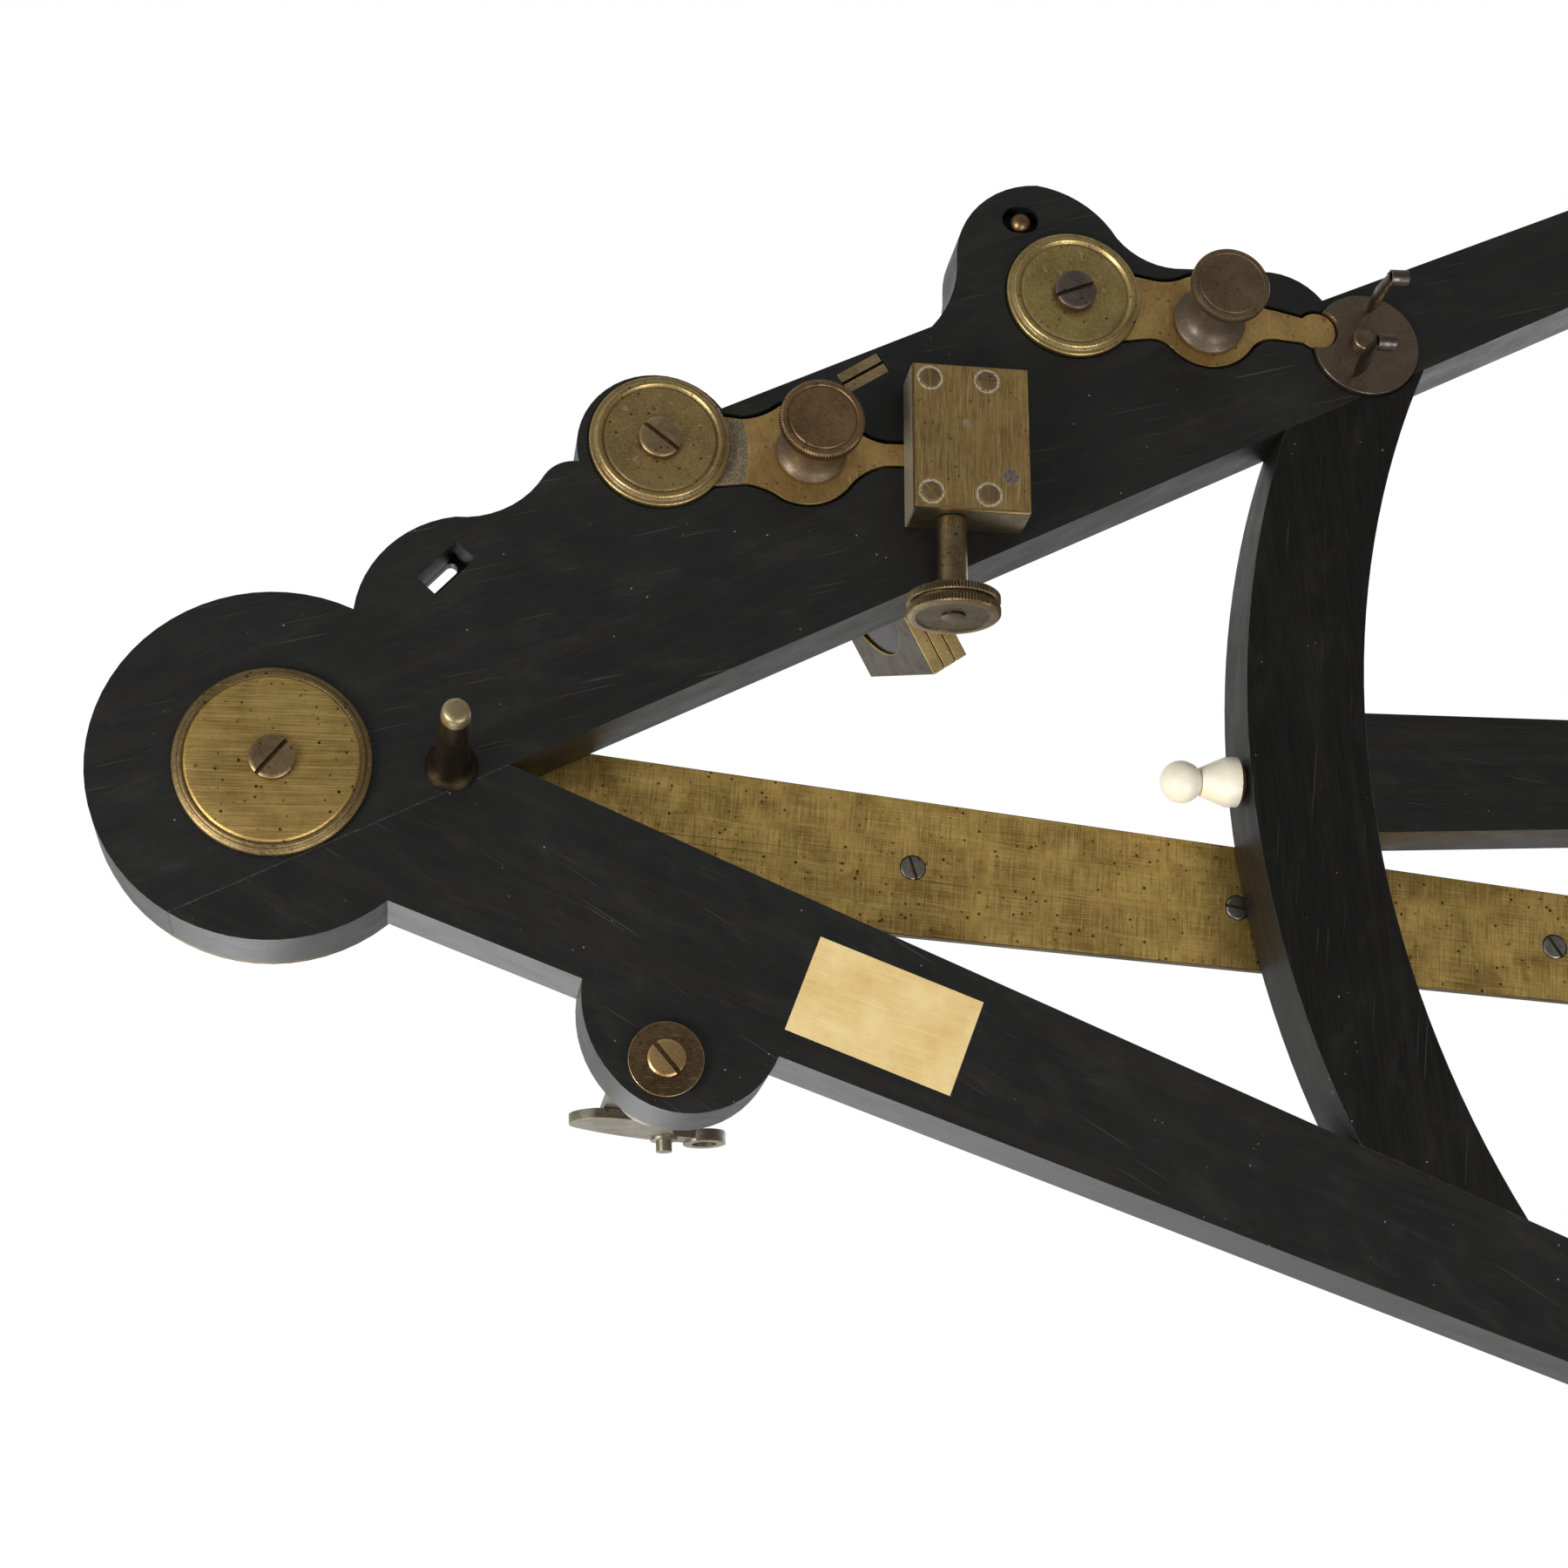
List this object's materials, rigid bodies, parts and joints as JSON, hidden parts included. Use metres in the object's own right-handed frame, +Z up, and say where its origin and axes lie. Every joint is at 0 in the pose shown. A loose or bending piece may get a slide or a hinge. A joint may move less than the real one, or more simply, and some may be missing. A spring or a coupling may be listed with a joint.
{
  "type": "octant",
  "caption": "Navigator's octant: ebony frame and graduated arc, brass index arm with mirror, horizon mirrors with adjusting levers, swinging shades, sight vanes, feet and pencil.",
  "frame": {"origin": "under the middle of the outline, on the plane that the three feet stand on", "axes": "+X from the pivot to the arc, +Y towards the limb with the sight vane, +Z up, out of the front face with the mirrors; the back hardware faces down between the feet"},
  "size_m": [0.4222, 0.322, 0.1058],
  "materials": {
    "ebony": "oiled, worn, fine open grain",
    "ivory": "polished, yellowed, slightly mottled",
    "cedar": "plain unvarnished pencil wood",
    "steel": "turned, slotted, slightly tarnished",
    "mirror": "silvered glass with slight spotting",
    "red_glass": "coloured, transparent",
    "green_glass": "coloured, transparent",
    "dark_brass": "brown tarnish over satin",
    "brass": "satin with brown patina"
  },
  "bodies": {
    "frame": {"mirror_limb": "ebony", "sight_limb": "ebony", "cross_brace": "ebony", "centre_strut": "ebony", "arc_limb": "ebony", "arc_scale": "ivory", "note_plate": "ivory", "foot_apex": "brass", "arc_feet": "brass", "pivot_bush": "brass", "worm_box": "brass", "worm_box_cover": "brass", "worm_box_screws": "dark_brass", "sight_vane": "brass", "sight_vane_washer": "dark_brass", "sight_vane_screw": "dark_brass", "back_vane": "brass", "back_vane_screw": "dark_brass"},
    "index_arm": {"index_arm": "brass", "arm_stiffener": "brass", "arm_screws": "steel", "index_arbor": "brass", "apex_disc": "brass", "apex_screw": "steel", "index_mirror_base": "brass", "index_mirror_frame": "brass", "index_mirror_glass": "mirror", "index_mirror_screws": "steel", "vernier_scale": "ivory", "clamp_bracket": "brass"},
    "clamp_screw": {"clamp_screw": "brass"},
    "fore_mirror": {"fore_disc": "brass", "fore_disc_screw": "steel", "fore_mirror_base": "brass", "fore_mirror_frame": "brass", "fore_mirror_glass": "mirror", "fore_lever": "dark_brass", "fore_nut": "brass"},
    "back_mirror": {"back_disc": "brass", "back_disc_screw": "steel", "back_mirror_base": "brass", "back_mirror_frame": "brass", "back_mirror_glass": "mirror", "back_lever": "dark_brass"},
    "fore_knob": {"fore_knob": "dark_brass"},
    "back_knob": {"back_knob": "dark_brass"},
    "tangent_screw": {"tangent_screw": "brass"},
    "winged_adjuster": {"winged_adjuster": "dark_brass"},
    "shade_holder": {"shade_bracket": "brass", "shade_pin": "dark_brass"},
    "first_shade": {"shade_frame_first": "brass", "shade_glass_first": "red_glass"},
    "second_shade": {"shade_frame_second": "brass", "shade_glass_second": "red_glass"},
    "third_shade": {"shade_frame_third": "brass", "shade_glass_third": "green_glass"},
    "shutter": {"sight_shutter": "brass"},
    "pencil": {"pencil": "cedar", "pencil_finial": "ivory"}
  },
  "joints": [
    {"name": "index_arm_swing", "type": "hinge", "parent": "frame", "child": "index_arm", "pos_m": [-0.17473, 0, 0.033], "axis": [0, 0, 1], "range_deg": [-30, 16]},
    {"name": "arm_clamp_turn", "type": "hinge", "parent": "index_arm", "child": "clamp_screw", "pos_m": [0.19152, 0.04497, 0.024], "axis": [0, 0, 1], "range_deg": [0, 90]},
    {"name": "fore_mirror_turn", "type": "hinge", "parent": "frame", "child": "fore_mirror", "pos_m": [-0.09613, -0.0717, 0.033], "axis": [0, 0, 1], "range_deg": [-0.6, 0.6]},
    {"name": "tangent_screw_turn", "type": "hinge", "parent": "frame", "child": "tangent_screw", "pos_m": [-0.03503, -0.06985, 0.0275], "axis": [-0.0419, 0.9991, 0], "range_deg": [-250, 250]},
    {"name": "back_mirror_turn", "type": "hinge", "parent": "frame", "child": "back_mirror", "pos_m": [-0.00433, -0.1096, 0.033], "axis": [0, 0, 1], "range_deg": [-0.8, 0.8]},
    {"name": "wing_turn", "type": "hinge", "parent": "frame", "child": "winged_adjuster", "pos_m": [0.06127, -0.0996, 0.033], "axis": [0, 0, 1], "range_deg": [-3.8, 3.8]},
    {"name": "fore_knob_turn", "type": "hinge", "parent": "frame", "child": "fore_knob", "pos_m": [-0.06393, -0.0706, 0.033], "axis": [0, 0, 1], "range_deg": [0, 270]},
    {"name": "back_knob_turn", "type": "hinge", "parent": "frame", "child": "back_knob", "pos_m": [0.02607, -0.1045, 0.033], "axis": [0, 0, 1], "range_deg": [0, 270]},
    {"name": "shade_holder_lift", "type": "slide", "parent": "frame", "child": "shade_holder", "axis": [0, 0, 1], "range_m": [0, 0.02]},
    {"name": "first_shade_swing", "type": "hinge", "parent": "shade_holder", "child": "first_shade", "pos_m": [-0.04198, -0.07402, 0.0593], "axis": [0.841, -0.541, 0], "range_deg": [-12, 53]},
    {"name": "second_shade_swing", "type": "hinge", "parent": "shade_holder", "child": "second_shade", "pos_m": [-0.04198, -0.07402, 0.0593], "axis": [0.841, -0.541, 0], "range_deg": [-12, 53]},
    {"name": "third_shade_swing", "type": "hinge", "parent": "shade_holder", "child": "third_shade", "pos_m": [-0.04198, -0.07402, 0.0593], "axis": [0.841, -0.541, 0], "range_deg": [-12, 53]},
    {"name": "shutter_swing", "type": "hinge", "parent": "frame", "child": "shutter", "pos_m": [-0.09313, 0.0647, 0.088], "axis": [0, 1, 0], "range_deg": [0, 180]},
    {"name": "pencil_slide", "type": "slide", "parent": "frame", "child": "pencil", "axis": [-1, 0, 0], "range_m": [0, 0.055]}
  ],
  "couplings": [
    {"joint": "fore_mirror_turn", "follows": "tangent_screw_turn", "ratio": 0.0023438},
    {"joint": "back_mirror_turn", "follows": "wing_turn", "ratio": -0.2014}
  ]
}
